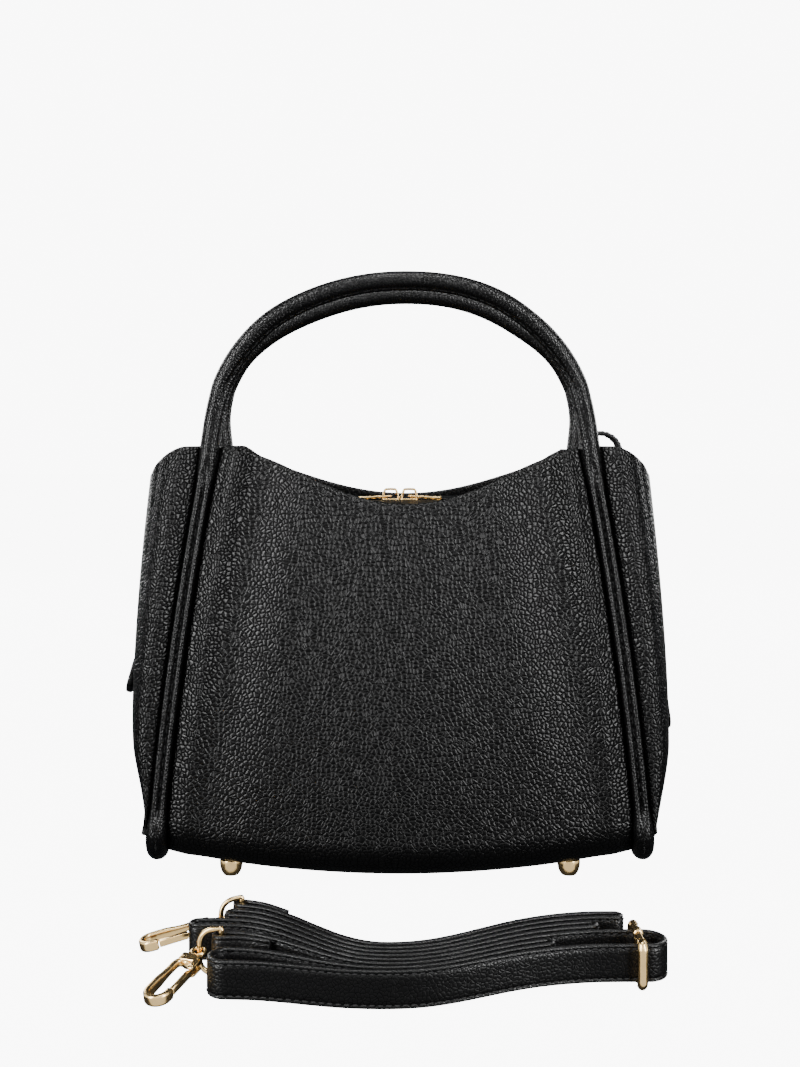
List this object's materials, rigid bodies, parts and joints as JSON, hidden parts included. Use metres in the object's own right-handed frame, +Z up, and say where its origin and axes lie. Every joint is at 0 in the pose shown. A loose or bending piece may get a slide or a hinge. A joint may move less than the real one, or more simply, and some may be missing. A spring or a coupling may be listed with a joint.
{
  "type": "mini tote bag",
  "caption": "Small structured leather tote with rolled top handles, a folded-in zip top, metal feet and a detached adjustable shoulder strap lying coiled in front.",
  "frame": {"origin": "Centre of the footprint of the whole set, bag and coiled strap, on the floor.", "axes": "X runs along the bag to the right, Y from the strap in front towards the back of the bag, Z up."},
  "size_m": [0.2892, 0.264, 0.3008],
  "materials": {
    "leather": "semi-gloss pebbled grain",
    "lining": "matt woven",
    "tape": "matt woven tape",
    "board": "matt stiffener",
    "gold": "polished pale gold plate"
  },
  "bodies": {
    "bag": {"front_panel": "leather", "back_panel": "leather", "gusset_left": "leather", "gusset_right": "leather", "base_panel": "leather", "base_board": "board", "lining": "lining", "handle_run_left": "leather", "handle_run_right": "leather", "zip_facing_front": "leather", "zip_facing_back": "leather", "zip_tape_front": "tape", "zip_tape_back": "tape", "zip_teeth_front": "gold", "zip_teeth_back": "gold", "zip_tail_left": "tape", "zip_tail_right": "tape", "zip_tail_tab_left": "leather", "zip_tail_tab_right": "leather", "strap_loop_left": "leather", "strap_loop_right": "leather", "foot_front_left": "gold", "foot_front_right": "gold", "foot_back_left": "gold", "foot_back_right": "gold", "foot_washer_front_left": "gold", "foot_washer_front_right": "gold", "foot_washer_back_left": "gold", "foot_washer_back_right": "gold"},
    "front_handle": {"handle_front": "leather"},
    "back_handle": {"handle_back": "leather"},
    "left_slider": {"zip_slider_left": "gold"},
    "left_pull": {"zip_pull_left": "gold"},
    "right_slider": {"zip_slider_right": "gold"},
    "right_pull": {"zip_pull_right": "gold"},
    "strap": {"strap_band": "leather"},
    "buckle": {"slide_buckle": "gold"},
    "back_ring": {"strap_ring_back": "gold"},
    "back_swivel": {"hook_swivel_back": "gold"},
    "back_hook": {"hook_frame_back": "gold", "hook_gate_pin_back": "gold"},
    "back_gate": {"hook_gate_back": "gold"},
    "front_ring": {"strap_ring_front": "gold"},
    "front_swivel": {"hook_swivel_front": "gold"},
    "front_hook": {"hook_frame_front": "gold", "hook_gate_pin_front": "gold"},
    "front_gate": {"hook_gate_front": "gold"}
  },
  "joints": [
    {"name": "front_handle_bend", "type": "hinge", "parent": "bag", "child": "front_handle", "pos_m": [0.00097, 0.0318, 0.212], "axis": [1, 0, 0], "range_deg": [-18, 60], "stiffness_Nm_per_rad": 0.15},
    {"name": "back_handle_bend", "type": "hinge", "parent": "bag", "child": "back_handle", "pos_m": [0.00097, 0.1018, 0.212], "axis": [-1, 0, 0], "range_deg": [-18, 60], "stiffness_Nm_per_rad": 0.15},
    {"name": "left_zip_slide", "type": "slide", "parent": "bag", "child": "left_slider", "axis": [-1, 0, 0], "range_m": [0, 0.06]},
    {"name": "left_pull_flip", "type": "hinge", "parent": "left_slider", "child": "left_pull", "pos_m": [-0.00403, 0.0668, 0.1864], "axis": [0, 1, 0], "range_deg": [0, 85]},
    {"name": "right_zip_slide", "type": "slide", "parent": "bag", "child": "right_slider", "axis": [1, 0, 0], "range_m": [0, 0.06]},
    {"name": "right_pull_flip", "type": "hinge", "parent": "right_slider", "child": "right_pull", "pos_m": [0.00597, 0.0668, 0.1864], "axis": [0, -1, 0], "range_deg": [0, 85]},
    {"name": "strap_lift", "type": "slide", "parent": "bag", "child": "strap", "axis": [0, 0, 1], "range_m": [0, 0.3]},
    {"name": "buckle_slide", "type": "slide", "parent": "strap", "child": "buckle", "axis": [-1, 0, 0], "range_m": [0, 0.011]},
    {"name": "back_ring_turn", "type": "hinge", "parent": "strap", "child": "back_ring", "pos_m": [-0.06703, -0.06458, 0.0103], "axis": [0, 0, 1], "range_deg": [-25, 8]},
    {"name": "back_swivel_yaw", "type": "hinge", "parent": "back_ring", "child": "back_swivel", "pos_m": [-0.07575, -0.06681, 0.0103], "axis": [0, 0, 1], "range_deg": [-45, 4]},
    {"name": "back_hook_spin", "type": "hinge", "parent": "back_swivel", "child": "back_hook", "pos_m": [-0.07575, -0.06681, 0.0103], "axis": [-0.9476, -0.242, -0.2086], "continuous": true},
    {"name": "back_gate_open", "type": "hinge", "parent": "back_hook", "child": "back_gate", "pos_m": [-0.08613, -0.074, 0.00778], "axis": [0.2021, 0.0516, -0.978], "range_deg": [0, 22], "stiffness_Nm_per_rad": 0.01},
    {"name": "front_ring_turn", "type": "hinge", "parent": "strap", "child": "front_ring", "pos_m": [-0.07103, -0.1009, 0.0103], "axis": [0, 0, 1], "range_deg": [-15, 8]},
    {"name": "front_swivel_yaw", "type": "hinge", "parent": "front_ring", "child": "front_swivel", "pos_m": [-0.07999, -0.1, 0.0103], "axis": [0, 0, 1], "range_deg": [-40, 5]},
    {"name": "front_hook_spin", "type": "hinge", "parent": "front_swivel", "child": "front_hook", "pos_m": [-0.07999, -0.1, 0.0103], "axis": [-0.3995, -0.8927, -0.2086], "continuous": true},
    {"name": "front_gate_open", "type": "hinge", "parent": "front_hook", "child": "front_gate", "pos_m": [-0.08081, -0.1126, 0.00778], "axis": [0.0852, 0.1904, -0.978], "range_deg": [0, 22], "stiffness_Nm_per_rad": 0.01}
  ]
}
